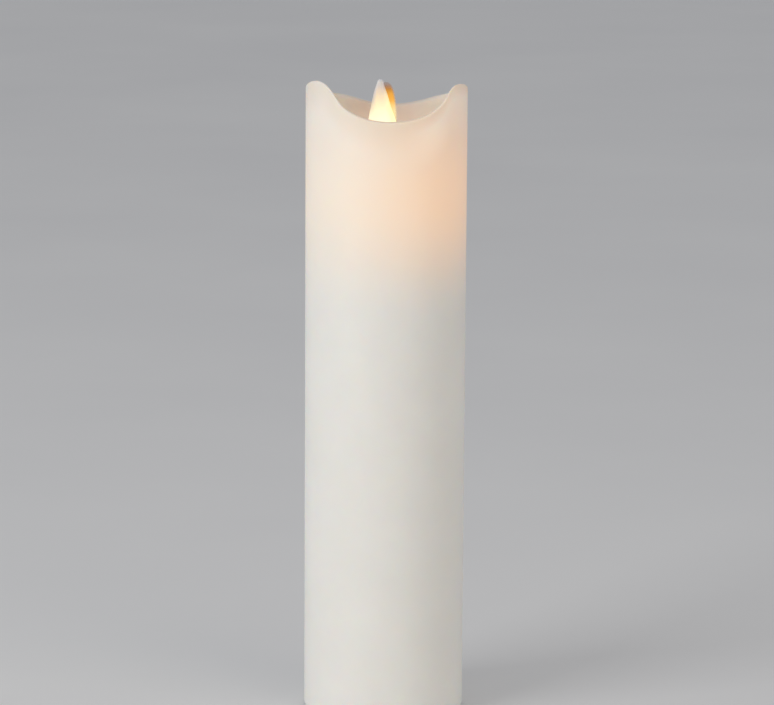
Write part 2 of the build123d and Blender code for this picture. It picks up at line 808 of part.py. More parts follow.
with BuildPart() as chip_resistors:
    with BuildSketch(Plane.XY.offset(board_top)):
        with GridLocations(0, 2.2, 1, 2):
            with Locations((16.4, 19.6)):
                Rectangle(2.0, 1.2)
    extrude(amount=0.5)
keep(chip_resistors.part, "chip_resistors")

# ---------------------------------------------------------------- plug and header
header_half_length = 6.2
header_half_width = 2.9
header_top = board_top + 7.0

with BuildPart() as board_header:
    add(block((-header_half_length, header_half_length),
              (plug_y - header_half_width, plug_y + header_half_width), (board_top, header_top)))
    add(block((-header_half_length + 0.8, header_half_length - 0.8),
              (plug_y - header_half_width + 0.8, plug_y + header_half_width - 0.8),
              (board_top + 1.4, header_top + 1)), mode=Mode.SUBTRACT)
    add(disc(0.34, board_top - 1, board_top + 2, [(x, plug_y) for x in wire_places]),
        mode=Mode.SUBTRACT)
keep(board_header.part, "board_header")

keep(disc(0.32, board_bottom + 0.2, header_top - 1.0, [(x, plug_y) for x in wire_places]),
     "header_pins")

plug_top = header_top + 2.0
with BuildPart() as wire_plug:
    add(block((-header_half_length + 0.95, header_half_length - 0.95),
              (plug_y - header_half_width + 0.95, plug_y + header_half_width - 0.95),
              (board_top + 1.5, plug_top)))
    add(disc(0.36, board_top, header_top - 0.8, [(x, plug_y) for x in wire_places]),
        mode=Mode.SUBTRACT)
    add(disc(wire_radius + fit_gap, plug_top - 1.2, plug_top + 1,
             [(x, plug_y) for x in wire_places]), mode=Mode.SUBTRACT)
keep(wire_plug.part, "wire_plug")

# ---------------------------------------------------------------- wires
# All four module wires run side by side through the deck's slot and hang slack to the plug.
# A route is given as (y, z), and each wire keeps its own place in x.
hanging_route = (
    (-10.6, 206.0),
    (-10.4, 196.0),
    (-9.0, 178.0),
    (-5.0, 150.0),
    (0.8, 118.0),
    (7.0, 88.0),
    (14.0, 60.0),
    (20.6, 40.0),
    (plug_y, 28.5),
    (plug_y, plug_top - 1.2),
)
led_start = ((led_seat[0], 239.9), (led_seat[0], 232.5), (-8.8, 222.5), (-10.6, 213.5))
coil_start = ((-5.8, 215.0), (-8.3, 214.7), (-10.4, 212.8), (-10.6, 209.8))


def module_wires(places, start):
    """Wires from the module to the plug, one at each place across the plug."""
    with BuildPart() as wires:
        for x in places:
            add(wire_run([(x, y, z) for y, z in (*start, *hanging_route)]))
    return wires.part


keep(module_wires(wire_places[1:3], led_start), "led_wires")
keep(module_wires((wire_places[0], wire_places[3]), coil_start), "coil_wires")

# The battery wires cross the roof of the bay and drop to their pads on the board.
wire_end = board_top + 0.05
red_route = (
    (26.7, 7.45, 22.2),
    (22.5, 8.2, 22.5),
    (18.0, 11.0, 22.6),
    (14.2, 15.0, 22.7),
    (12.0, 18.4, 21.4),
    (11.0, 19.6, 17.5),
    (10.8, 19.5, wire_end),
)
black_route = (
    (26.7, -7.45, 22.2),
    (22.0, -6.4, 22.5),
    (17.0, -3.0, 22.6),
    (13.0, 2.0, 22.8),
    (10.2, 8.0, 22.6),
    (8.8, 13.6, 22.8),
    (8.4, 18.0, 21.6),
    (8.25, 19.6, 17.6),
    (8.2, 19.5, wire_end),
)
keep(wire_run(red_route), "battery_wire_red")
keep(wire_run(black_route), "battery_wire_black")

# ---------------------------------------------------------------- write the pieces
os.makedirs("parts", exist_ok=True)
for piece in pieces:
    export_step(piece, f"parts/{piece.label}.step")
print(len(pieces), "pieces written")
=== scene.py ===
"""Looks for the flameless LED pillar candle.

The wax shell and the flame are new meshes that stand for their CAD nodes. Every other CAD node
keeps its shape and gets a material. Lengths are in metres, in the frame of the CAD model: +Z is
up, -Y is the front and the origin is the centre of the footprint.
"""

import math

import bmesh
import bpy
from mathutils import Matrix, Vector, noise
from mathutils.bvhtree import BVHTree


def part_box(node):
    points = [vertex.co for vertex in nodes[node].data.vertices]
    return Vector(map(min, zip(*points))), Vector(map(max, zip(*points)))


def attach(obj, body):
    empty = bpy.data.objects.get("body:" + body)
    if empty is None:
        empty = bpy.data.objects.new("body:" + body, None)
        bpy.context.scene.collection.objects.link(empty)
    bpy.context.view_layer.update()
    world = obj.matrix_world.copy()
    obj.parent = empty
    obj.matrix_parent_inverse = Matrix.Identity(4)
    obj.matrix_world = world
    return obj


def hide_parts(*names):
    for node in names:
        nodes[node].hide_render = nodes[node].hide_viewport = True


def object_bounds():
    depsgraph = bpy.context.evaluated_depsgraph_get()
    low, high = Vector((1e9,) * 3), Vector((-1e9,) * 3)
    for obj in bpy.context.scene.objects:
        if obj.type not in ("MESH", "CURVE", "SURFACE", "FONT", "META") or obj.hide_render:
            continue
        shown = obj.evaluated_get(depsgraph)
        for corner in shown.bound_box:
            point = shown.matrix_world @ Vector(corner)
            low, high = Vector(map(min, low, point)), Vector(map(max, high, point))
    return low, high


MM = 0.001
RIGHT = Vector((1, 0, 0))
BACK = Vector((0, 1, 0))
UP = Vector((0, 0, 1))

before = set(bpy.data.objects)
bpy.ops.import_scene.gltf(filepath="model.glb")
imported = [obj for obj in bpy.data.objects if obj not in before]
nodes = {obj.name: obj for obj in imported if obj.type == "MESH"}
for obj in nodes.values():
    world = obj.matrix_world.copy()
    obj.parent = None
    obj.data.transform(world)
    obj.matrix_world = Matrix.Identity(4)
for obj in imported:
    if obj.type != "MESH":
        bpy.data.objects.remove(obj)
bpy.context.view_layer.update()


# ---------------------------------------------------------------- node helpers
class Nodes:
    """A node tree under construction, with short calls for the nodes that the materials use."""

    def __init__(self, name):
        self.material = bpy.data.materials.new(name)
        self.material.use_nodes = True
        self.tree = self.material.node_tree
        self.tree.nodes.clear()
        self.shader = self.new("ShaderNodeBsdfPrincipled")
        output = self.new("ShaderNodeOutputMaterial")
        self.link(self.shader.outputs["BSDF"], output.inputs["Surface"])
        self.place = self.new("ShaderNodeTexCoord").outputs["Object"]

    def new(self, kind, **settings):
        node = self.tree.nodes.new(kind)
        for name, value in settings.items():
            setattr(node, name, value)
        return node

    def link(self, source, target):
        self.tree.links.new(source, target)

    def feed(self, socket, value):
        """Gives a socket a constant, or links it to another node's output."""
        if isinstance(value, bpy.types.NodeSocket):
            self.link(value, socket)
        else:
            socket.default_value = value

    def set(self, **values):
        """Sets or links the shader's sockets, with underscores for the spaces in their names."""
        for name, value in values.items():
            self.feed(self.shader.inputs[name.replace("_", " ")], value)

    def scaled(self, scale):
        """The object's coordinates times a scale for each axis."""
        node = self.new("ShaderNodeMapping")
        node.inputs["Scale"].default_value = scale
        self.link(self.place, node.inputs["Vector"])
        return node.outputs["Vector"]

    def noise(self, per_metre, detail=3.0, roughness=0.5, stretch=(1, 1, 1)):
        node = self.new("ShaderNodeTexNoise")
        self.link(self.scaled([per_metre * s for s in stretch]), node.inputs["Vector"])
        node.inputs["Scale"].default_value = 1.0
        node.inputs["Detail"].default_value = detail
        node.inputs["Roughness"].default_value = roughness
        return node.outputs["Fac"]

    def math(self, operation, a, b=0.0, c=0.0):
        node = self.new("ShaderNodeMath", operation=operation)
        for socket, value in zip(node.inputs, (a, b, c)):
            self.feed(socket, value)
        return node.outputs["Value"]

    def span(self, value, low, high, to_low=0.0, to_high=1.0, smooth=False):
        """Maps low..high to to_low..to_high and clamps beyond."""
        node = self.new("ShaderNodeMapRange")
        if smooth:
            node.interpolation_type = "SMOOTHSTEP"
        for socket, number in zip(node.inputs, (value, low, high, to_low, to_high)):
            self.feed(socket, number)
        return node.outputs["Result"]

    def blend(self, factor, a, b, mode="MIX"):
        """A mix of two colours."""
        node = self.new("ShaderNodeMix", data_type="RGBA", blend_type=mode)
        self.feed(node.inputs[0], factor)
        for socket, value in ((node.inputs[6], a), (node.inputs[7], b)):
            self.feed(socket, value if isinstance(value, bpy.types.NodeSocket) else (*value, 1))
        return node.outputs[2]

    def attribute(self, name):
        """A number stored on the mesh's points."""
        return self.new("ShaderNodeAttribute", attribute_name=name).outputs["Fac"]

    def axes(self):
        """The object's x, y and z."""
        node = self.new("ShaderNodeSeparateXYZ")
        self.link(self.place, node.inputs["Vector"])
        return node.outputs["X"], node.outputs["Y"], node.outputs["Z"]

    def ramp(self, factor, *stops, kind="LINEAR"):
        """A colour that runs through (place, colour) stops."""
        node = self.new("ShaderNodeValToRGB")
        node.color_ramp.interpolation = kind
        elements = node.color_ramp.elements
        while len(elements) < len(stops):
            elements.new(0.5)
        for element, (place, colour) in zip(elements, stops):
            element.position = place
            element.color = (*colour, 1)
        self.feed(node.inputs["Fac"], factor)
        return node.outputs["Color"]

    def bump(self, height, depth, edge=0.0):
        """Relief of the given depth in metres, with edges softened by a radius in metres."""
        node = self.new("ShaderNodeBump")
        node.inputs["Distance"].default_value = depth
        self.feed(node.inputs["Height"], height)
        if edge:
            soft = self.new("ShaderNodeBevel", samples=4)
            soft.inputs["Radius"].default_value = edge
            self.link(soft.outputs["Normal"], node.inputs["Normal"])
        self.link(node.outputs["Normal"], self.shader.inputs["Normal"])


def paint(material, *names):
    """Gives CAD nodes a material."""
    for name in names:
        mesh = nodes[name].data
        mesh.materials.clear()
        mesh.materials.append(material)


def tint(colour, factor):
    """A colour times a factor, kept within 0 to 1."""
    return tuple(min(1.0, channel * factor) for channel in colour)


# ---------------------------------------------------------------- plain families of material
def moulded(name, colour, roughness=0.45, grain=2500.0, relief=0.03 * MM, edge=0.2 * MM, glow=0.0):
    """Moulded plastic: a fine spark-eroded grain, slight cloudiness and softened edges."""
    n = Nodes(name)
    cloud = n.noise(60.0, 4.0)
    fine = n.noise(grain, 2.0)
    n.set(
        Base_Color=n.blend(n.span(cloud, 0.3, 0.7), tint(colour, 0.93), tint(colour, 1.04)),
        Roughness=n.span(fine, 0.2, 0.8, roughness - 0.06, roughness + 0.08),
        Specular_IOR_Level=0.45,
    )
    if glow:
        n.set(Subsurface_Weight=glow, Subsurface_Radius=(4 * MM, 3 * MM, 2 * MM), Subsurface_Scale=1.0)
    n.bump(fine, relief, edge)
    return n.material


def metal(name, colour, roughness=0.25, stretch=(1, 1, 12), grain=900.0, edge=0.1 * MM):
    """Metal with fine drawn lines and faint tarnish."""
    n = Nodes(name)
    lines = n.noise(grain, 3.0, 0.6, stretch)
    tarnish = n.noise(180.0, 5.0, 0.6)
    n.set(
        Base_Color=n.blend(n.span(tarnish, 0.35, 0.75), colour, tint(colour, 0.78)),
        Metallic=1.0,
        Roughness=n.span(lines, 0.3, 0.7, roughness - 0.07, roughness + 0.12),
    )
    n.bump(lines, 0.01 * MM, edge)
    return n.material


def insulation(name, colour):
    """Wire insulation: glossy vinyl with a slight waviness."""
    n = Nodes(name)
    wave = n.noise(400.0, 2.0)
    n.set(
        Base_Color=n.blend(n.span(wave, 0.3, 0.7), tint(colour, 0.85), tint(colour, 1.08)),
        Roughness=n.span(wave, 0.3, 0.7, 0.28, 0.4),
        Coat_Weight=0.2,
    )
    n.bump(wave, 0.04 * MM)
    return n.material


# The board's tracks: how many to a metre, their share of that pitch, and the gaps along them.
TRACKS_PER_METRE = 420.0
TRACK_START = 0.30
TRACK_END = 0.55
TRACK_BREAKS = 310.0
TRACK_BREAK_LEVEL = 0.15


def board_material():
    """Green solder mask over copper tracks, which run both ways across the board."""
    n = Nodes("board_laminate")
    x, y, _ = n.axes()
    weave = n.noise(1500.0, 2.0)
    tracks = []
    for along, across, shift in ((x, y, 0.0), (y, x, 0.37)):
        lane = n.math("FRACT", n.math("MULTIPLY_ADD", across, TRACKS_PER_METRE, shift))
        left_of_end = n.math("LESS_THAN", lane, TRACK_END)
        line = n.math("MULTIPLY", n.math("GREATER_THAN", lane, TRACK_START), left_of_end)
        run = n.math("SINE", n.math("MULTIPLY_ADD", along, TRACK_BREAKS, shift * 11))
        tracks.append(n.math("MULTIPLY", line, n.math("GREATER_THAN", run, TRACK_BREAK_LEVEL)))
    track = n.math("MAXIMUM", *tracks)
    mask = n.blend(n.span(weave, 0.3, 0.7), (0.006, 0.060, 0.022), (0.012, 0.085, 0.032))
    n.set(
        Base_Color=n.blend(track, mask, (0.030, 0.170, 0.055)),
        Roughness=n.span(weave, 0.3, 0.7, 0.28, 0.38),
        Coat_Weight=0.3,
    )
    n.bump(n.math("MULTIPLY_ADD", weave, 0.1, track), 0.04 * MM, 0.1 * MM)
    return n.material


def lamp_material():
    """The LED's epoxy, lit from inside and brightest at its dome."""
    low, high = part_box("led_emitter")
    n = Nodes("led_epoxy")
    up = n.span(n.axes()[2], low.z, high.z)
    swirl = n.noise(700.0, 2.0)
    n.set(
        Base_Color=n.blend(n.span(swirl, 0.3, 0.7), (0.90, 0.82, 0.62), (0.94, 0.88, 0.70)),
        Roughness=n.span(swirl, 0.3, 0.7, 0.08, 0.16),
        Emission_Color=n.blend(up, (1.0, 0.60, 0.24), (1.0, 0.82, 0.50)),
        Emission_Strength=n.span(up, 0.1, 1.0, 0.3, 2.2, smooth=True),
    )
    n.bump(swirl, 0.005 * MM, 0.2 * MM)
    return n.material


CELL_NUB = 1.3 * MM
CELL_BAND_START = 0.70
CELL_LINE_HALF = 0.006
CELL_JACKET_HALF = 0.491


def cell_material(name, node, positive_side):
    """A plain dry-cell jacket: bare steel ends, a copper band by the positive end, dark body.

    Places along the cell are shares of its length, from 0 at its flat end to 1 at its shoulder.
    """
    low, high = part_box(node)
    n = Nodes(name)
    start, end = (low.x, high.x - CELL_NUB) if positive_side > 0 else (high.x, low.x + CELL_NUB)
    along = n.span(n.axes()[0], start, end)
    band = n.math("GREATER_THAN", along, CELL_BAND_START)
    line = n.math("COMPARE", along, CELL_BAND_START, CELL_LINE_HALF)
    jacket = n.blend(band, (0.016, 0.018, 0.022), (0.62, 0.27, 0.075))
    jacket = n.blend(line, jacket, (0.75, 0.74, 0.70))
    from_middle = n.math("ABSOLUTE", n.math("SUBTRACT", along, 0.5))
    steel = n.math("GREATER_THAN", from_middle, CELL_JACKET_HALF)
    scuff = n.noise(260.0, 4.0)
    n.set(
        Base_Color=n.blend(steel, jacket, (0.70, 0.69, 0.67)),
        Metallic=n.math("MAXIMUM", steel, n.math("MULTIPLY", band, 0.8)),
        Roughness=n.span(scuff, 0.3, 0.75, 0.20, 0.36),
        Coat_Weight=0.3,
    )
    n.bump(scuff, 0.02 * MM)
    return n.material


# ---------------------------------------------------------------- wax
WAX = (0.885, 0.866, 0.822)
LIT_WAX = tuple(0.8 * channel for channel in WAX)
# Painted shade in the well: darker and warmer than the wax outside, with painted light making it paler
# to the right and to the sides.
WELL_SHADE_LEFT = (0.770, 0.635, 0.545)
WELL_SHADE_RIGHT = (0.770, 0.680, 0.615)
WELL_SHADE_ASIDE = (0.845, 0.780, 0.705)
RIM_SHADE = (0.940, 0.910, 0.870)
GLOW_LEFT = (1.0, 0.58, 0.20)
GLOW_RIGHT = (1.0, 0.42, 0.085)
GLOW_IN_WELL = (1.0, 0.84, 0.72)

# The lamp's glow in the wax: heights, how far its lower edge wanders, its direction and shares.
GLOW_STARTS = 0.194
GLOW_FULL = 0.252
GLOW_WANED = 0.300
GLOW_WANDER = 0.010
GLOW_AZIMUTH = math.radians(36)
GLOW_FOCUS = 3.5
GLOW_AT_TOP = 0.32
GLOW_BEHIND = 0.38
GLOW_INSIDE = 0.2
GLOW_STRENGTH = 0.42

# Depths below the rim, and heights in the well, where the wax's looks change.
RIM_SHADE_DEPTH = 0.018
LOBE_TIP = 0.001
LOBE_TOP = 0.0065
LOBE_FOOT = 0.026
WELL_STARTS = 0.255
WELL_FULL = 0.262
WELL_LIGHT_ENDS = 0.283
WELL_LIGHT_FULL = 0.272
WELL_LIGHT_STRENGTH = 0.15


def lamp_glow(n, x, y, z, radius, skin):
    """Strength of the lamp's glow: a soft rise above the deck and a slow fall to the rim.

    The lamp sits a little towards the front right, so the glow is strongest there.
    """
    drift = n.noise(16.0, 2.0, 0.5, (1, 1, 0.5))
    edge = n.math("MULTIPLY_ADD", drift, GLOW_WANDER, z)
    rise = n.span(edge, GLOW_STARTS, GLOW_FULL, smooth=True)
    fall = n.span(z, GLOW_FULL, GLOW_WANED, 1.0, GLOW_AT_TOP, smooth=True)
    towards = n.math(
        "ADD",
        n.math("MULTIPLY", x, math.sin(GLOW_AZIMUTH)),
        n.math("MULTIPLY", y, -math.cos(GLOW_AZIMUTH)),
    )
    facing = n.math("POWER", n.span(n.math("DIVIDE", towards, radius), -1.0, 1.0), GLOW_FOCUS)
    around = n.span(facing, 0, 1, GLOW_BEHIND, 1.0)
    strength = n.math("MULTIPLY", around, n.span(skin, 0, 1, GLOW_INSIDE, 1.0))
    return n.math("MULTIPLY", n.math("MULTIPLY", rise, fall), strength)


def outside_colour(n, x, mottle, glow, outer):
    """Colour of the wall outside: darker where it glows, with painted shade below the rim and painted
    light on the right-hand lobe.
    """
    pale = n.blend(n.span(mottle, 0.35, 0.7), tint(WAX, 0.985), tint(WAX, 1.012))
    colour = n.blend(glow, pale, LIT_WAX)
    # Painted shade: the wall just below the rim is made a little darker and warmer.
    below_rim = n.attribute("below_rim")
    rim_shade_mask = n.span(below_rim, 0.0, RIM_SHADE_DEPTH, 1, 0, smooth=True)
    colour = n.blend(rim_shade_mask, colour, n.blend(1.0, colour, RIM_SHADE, "MULTIPLY"))
    # Painted light: the right-hand lobe below the rim is lifted back to the plain wax colour, without
    # the painted rim shade or the darkening under the glow.
    above_foot = n.span(below_rim, LOBE_TOP, LOBE_FOOT, 1, 0, smooth=True)
    lobe = n.math("MULTIPLY", n.span(below_rim, LOBE_TIP, LOBE_TOP), above_foot)
    on_right = n.span(x, 0.15 * outer, 0.65 * outer, smooth=True)
    return n.blend(n.math("MULTIPLY", lobe, on_right), colour, WAX)


def well_shade_colour(n, x, well):
    """Colour of the wax in the well, with painted shade and light: warm and dark behind the flame,
    paler towards both sides.
    """
    warm = n.blend(n.span(x, -0.7 * well, 0.5 * well), WELL_SHADE_LEFT, WELL_SHADE_RIGHT)
    aside = n.span(n.math("ABSOLUTE", x), 0.33 * well, 0.62 * well)
    return n.blend(aside, warm, WELL_SHADE_ASIDE)


def wax_material(outer, well):
    """Cast paraffin: soft, slightly mottled, with the lamp's glow spreading through its top, painted
    shade below the rim and in the well, and painted light on the right-hand lobe.
    """
    n = Nodes("ivory_wax")
    x, y, z = n.axes()
    mottle = n.noise(38.0, 5.0, 0.55)
    speckle = n.noise(900.0, 3.0, 0.6)
    radius = n.math("SQRT", n.math("ADD", n.math("MULTIPLY", x, x), n.math("MULTIPLY", y, y)))
    skin = n.span(radius, well + 0.5 * MM, outer - 0.8 * MM, smooth=True)
    in_well = n.math("MULTIPLY", n.span(skin, 0, 1, 1, 0), n.span(z, WELL_STARTS, WELL_FULL))
    glow = lamp_glow(n, x, y, z, radius, skin)
    side_glow = n.blend(n.span(x, -0.8 * outer, outer), GLOW_LEFT, GLOW_RIGHT)
    flame_light = n.span(z, WELL_LIGHT_ENDS, WELL_LIGHT_FULL, 0.0, WELL_LIGHT_STRENGTH)
    well_light = n.math("MULTIPLY", in_well, flame_light)
    n.set(
        Base_Color=n.blend(in_well, outside_colour(n, x, mottle, glow, outer), well_shade_colour(n, x, well)),
        Roughness=n.span(mottle, 0.3, 0.7, 0.40, 0.52),
        Specular_IOR_Level=0.35,
        IOR=1.43,
        Subsurface_Weight=0.65,
        Subsurface_Radius=(4.5 * MM, 3.2 * MM, 2.2 * MM),
        Subsurface_Scale=1.0,
        Emission_Color=n.blend(in_well, side_glow, GLOW_IN_WELL),
        Emission_Strength=n.math("MULTIPLY_ADD", glow, GLOW_STRENGTH, well_light),
    )
    n.bump(n.math("MULTIPLY_ADD", speckle, 0.25, mottle), 0.12 * MM)
    return n.material


AZIMUTH_STEPS = 480
ANGLES = [2 * math.pi * i / AZIMUTH_STEPS for i in range(AZIMUTH_STEPS)]
FOOT_STEPS = 4
WALL_STEPS = 64
LIP_STEPS = 16
CORNER_STEPS = 8
PAN_STEPS = 6
PORT_STEPS = 4
WELL_SHARES = (0.0, 0.12, 0.3, 0.5, 0.7, 0.85)

FOOT_RADIUS = 0.9 * MM
OUTER_LIP = 0.9 * MM
INNER_LIP = 1.6 * MM
DENT_FADE = 3.0 * MM
PAN_CORNER = 4.0 * MM
PORT_EDGE = 1.0 * MM
BORE_EDGE = 0.4 * MM

# Heights inside the bore, from which rays find its radius and the underside of the pan.
MIDDLE_OF_BORE = 0.15
TOP_OF_BORE = 0.23

# The wax surface's unevenness: changes round the candle and per metre of height, and depth.
DENTS = ((0.9, 18, 0.035 * MM), (3.1, 55, 0.012 * MM))


def smooth_ring(values, passes):
    """Evens out a closed row of numbers."""
    for _ in range(passes):
        values = [
            0.25 * values[i - 1] + 0.5 * values[i] + 0.25 * values[(i + 1) % len(values)]
            for i in range(len(values))
        ]
    return values


def ring(radii, heights):
    """A ring of points round the axis, from a radius and a height at each angle."""
    return [(r * math.sin(a), -r * math.cos(a), h) for a, r, h in zip(ANGLES, radii, heights)]


def level(value):
    """The same number at each angle."""
    return [value] * AZIMUTH_STEPS


def dent(angle, height):
    """How far the slightly uneven surface lies inside the true one."""
    depth = 0.0
    for around, upwards, amount in DENTS:
        place = Vector((math.sin(angle) * around, -math.cos(angle) * around, height * upwards))
        depth += amount * (1 + noise.noise(place))
    return depth


def round_over(distance, radius):
    """How far a rounded edge lies below the square one, at a distance in from it."""
    if distance >= radius:
        return 0.0
    return radius - math.sqrt(max(0.0, radius**2 - (radius - distance) ** 2))


def rim_heights(tree, radius, top):
    """Height of the CAD rim at each angle, found by rays from above."""
    heights = []
    for angle in ANGLES:
        start = Vector((radius * math.sin(angle), -radius * math.cos(angle), top + 10 * MM))
        heights.append(tree.ray_cast(start, -UP)[0].z)
    return smooth_ring(heights, 10)


def wall_rings(outer, bottom, rim):
    """The outer wall, from its rounded foot to the start of the lip."""
    rings = []
    for step in range(FOOT_STEPS):
        turn = math.pi / 2 * step / FOOT_STEPS
        radius = outer - FOOT_RADIUS * (1 - math.sin(turn))
        height = bottom + FOOT_RADIUS * (1 - math.cos(turn))
        rings.append(ring([radius - dent(a, bottom) for a in ANGLES], level(height)))
    start = bottom + FOOT_RADIUS
    for step in range(WALL_STEPS + 1):
        heights = [start + (h - OUTER_LIP - start) * step / WALL_STEPS for h in rim]
        rings.append(ring([outer - dent(a, h) for a, h in zip(ANGLES, heights)], heights))
    return rings


def lip_rings(outer, well, radii, rims):
    """The lip between the wall and the well, rounded over on both sides."""
    rings = []
    for radius, heights in zip(radii[1:-1], rims[1:-1]):
        drop = round_over(outer - radius, OUTER_LIP) + round_over(radius - well, INNER_LIP)
        fade = max(0.0, 1 - (outer - radius) / DENT_FADE)
        dented = [radius - dent(a, h) * fade for a, h in zip(ANGLES, rims[0])]
        rings.append(ring(dented, [h - drop for h in heights]))
    return rings


def well_rings(tree, well, rim, top, bottom):
    """The well's wall, narrowing to the pan's rounded corner, then the pan, port and bore."""
    pan_radius = tree.ray_cast(Vector((0, 0, top - 26 * MM)), BACK)[0].y
    pan_height = tree.ray_cast(Vector((0, pan_radius - PAN_CORNER, top)), -UP)[0].z
    start = [h - INNER_LIP for h in rim]
    end = pan_height + PAN_CORNER
    rings = []
    for share in WELL_SHARES:
        radius = well + (pan_radius - well) * share
        rings.append(ring(level(radius), [h + (end - h) * share for h in start]))
    for radius, height in inner_profile(tree, pan_radius, pan_height, bottom):
        rings.append(ring(level(radius), level(height)))
    return rings


def inner_profile(tree, pan_radius, pan_height, bottom):
    """(radius, height) points from the pan's corner through the port and down the bore."""
    points = []
    for step in range(CORNER_STEPS + 1):
        turn = math.pi / 2 * step / CORNER_STEPS
        points.append((
            pan_radius - PAN_CORNER * (1 - math.cos(turn)),
            pan_height + PAN_CORNER * (1 - math.sin(turn)),
        ))
    port = tree.ray_cast(Vector((0, 0, pan_height - 4 * MM)), BACK)[0].y
    under = tree.ray_cast(Vector((0, port + 6 * MM, TOP_OF_BORE)), UP)[0].z
    bore = tree.ray_cast(Vector((0, 0, MIDDLE_OF_BORE)), BACK)[0].y
    start = pan_radius - PAN_CORNER
    end = port + PORT_EDGE
    for step in range(1, PAN_STEPS + 1):
        radius = start + (end - start) * step / PAN_STEPS
        height = tree.ray_cast(Vector((0, radius, pan_height + 20 * MM)), -UP)[0].z
        points.append((radius, height))
    lip = points[-1][1]
    for step in range(1, PORT_STEPS + 1):
        turn = math.pi / 2 * step / PORT_STEPS
        points.append((
            port + PORT_EDGE * (1 - math.sin(turn)),
            lip - PORT_EDGE * (1 - math.cos(turn)),
        ))
    points += [(port, under + BORE_EDGE), (port + BORE_EDGE, under), (bore - BORE_EDGE, under)]
    points += [(bore, under - BORE_EDGE), (bore, MIDDLE_OF_BORE - 20 * MM)]
    points += [(bore, bottom + 1.0 * MM), (bore + BORE_EDGE, bottom)]
    return points


def build_wax_shell():
    """The wax as one closed skin: wall, rounded lip, well, pan, port and bore, ring by ring."""
    tree = BVHTree.FromObject(nodes["wax_shell"], bpy.context.evaluated_depsgraph_get())
    low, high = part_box("wax_shell")
    outer = high.x
    well = tree.ray_cast(Vector((0, 0, high.z - 22 * MM)), RIGHT)[0].x
    radii = []
    rims = []
    for step in range(LIP_STEPS + 1):
        radius = outer + (well - outer) * (0.5 - 0.5 * math.cos(math.pi * step / LIP_STEPS))
        on_rim = min(max(radius, well + 0.05 * MM), outer - 0.05 * MM)
        radii.append(radius)
        rims.append(rim_heights(tree, on_rim, high.z))
    rings = wall_rings(outer, low.z, rims[0])
    rings += lip_rings(outer, well, radii, rims)
    rings += well_rings(tree, well, rims[-1], high.z, low.z)
    mesh = mesh_of_rings(rings, looped=True)
    below_rim = mesh.attributes.new("below_rim", "FLOAT", "POINT")
    for vertex in mesh.vertices:
        below_rim.data[vertex.index].value = rims[0][vertex.index % AZIMUTH_STEPS] - vertex.co.z
    shell = new_piece("wax_body", mesh)
    shell.data.materials.append(wax_material(outer, well))
    return shell


def mesh_of_rings(rings, looped=False):
    """A closed skin through rings of points. The last ring meets the first, or both are capped."""
    builder = bmesh.new()
    rows = [[builder.verts.new(point) for point in points] for points in rings]
    for row, after in zip(rows, rows[1:] + rows[:1] if looped else rows[1:]):
        for i in range(len(row)):
            j = (i + 1) % len(row)
            builder.faces.new((row[i], row[j], after[j], after[i]))
    if not looped:
        builder.faces.new(rows[0])
        builder.faces.new(rows[-1])
    bmesh.ops.recalc_face_normals(builder, faces=builder.faces)
    mesh = bpy.data.meshes.new("rings")
    builder.to_mesh(mesh)
    builder.free()
    mesh.shade_smooth()
    return mesh


def new_piece(name, mesh):
    """An object in the scene for a mesh."""
    mesh.name = name
    piece = bpy.data.objects.new(name, mesh)
    bpy.context.scene.collection.objects.link(piece)
    return piece


wax = build_wax_shell()
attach(wax, "candle")
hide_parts("wax_shell")


# ---------------------------------------------------------------- flame
# Heights of the flame's shapes, then where the colours of its blade and its flank start.
BLADE_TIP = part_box("flame_blade")[1].z
BLADE_FOOT = BLADE_TIP - 35.9 * MM
BLADE_SHOULDER = BLADE_TIP - 1.7 * MM
FLANK_FOOT = BLADE_TIP - 23.9 * MM
FLANK_TOP = BLADE_TIP - 1.5 * MM
SHADE_FOOT = BLADE_TIP - 28.8 * MM
AMBER_FOOT = BLADE_TIP - 22.0 * MM

RING_POINTS = 48
BLADE_STEPS = 56
TIP_STEPS = 8
FLANK_STEPS = 44
FLANK_Y = 1.0 * MM
FLANK_HALF_DEPTH = 0.34 * MM
CLEAR_OF_FLAME = 30 * MM


def flame_body_material():
    """The moulded blade, lit from below: a bright foot, a creamy middle and an unlit tip.

    The light fades out again below the blade, so that the hub and the tail are unlit.
    """
    n = Nodes("flame_plastic")
    z = n.axes()[2]
    height = n.span(z, SHADE_FOOT, BLADE_TIP)
    across = n.attribute("across")
    grain = n.noise(500.0, 3.0)
    core = n.ramp(
        height,
        (0.00, (0.94, 0.84, 0.58)),
        (0.30, (0.92, 0.80, 0.52)),
        (0.48, (0.82, 0.68, 0.36)),
        (0.64, (0.66, 0.48, 0.18)),
        (0.80, (0.38, 0.22, 0.07)),
        (0.94, (0.08, 0.08, 0.09)),
        kind="B_SPLINE",
    )
    # Painted light: the left edge stays paler than the rest, and a yellow streak of light runs up the
    # right edge.
    streak = n.math("MULTIPLY", n.span(across, 0.35, 0.8, smooth=True), n.span(height, 0.85, 0.55))
    yellow = n.blend(n.math("MULTIPLY", streak, 0.6), core, (0.90, 0.70, 0.18))
    edge = n.math("MULTIPLY", n.span(across, -0.45, -0.95, smooth=True), n.span(height, 0.4, 0.7))
    lit = n.span(z, BLADE_FOOT - 10 * MM, BLADE_FOOT + 5 * MM, smooth=True)
    n.set(
        Base_Color=n.blend(n.span(height, 0.2, 0.9), (0.72, 0.69, 0.62), (0.66, 0.66, 0.67)),
        Roughness=n.span(grain, 0.3, 0.7, 0.38, 0.5),
        Subsurface_Weight=0.3,
        Subsurface_Radius=(3 * MM, 2 * MM, 1 * MM),
        Emission_Color=n.blend(n.math("MULTIPLY", edge, 0.8), yellow, (0.16, 0.15, 0.15)),
        Emission_Strength=lit,
    )
    n.bump(grain, 0.03 * MM)
    return n.material


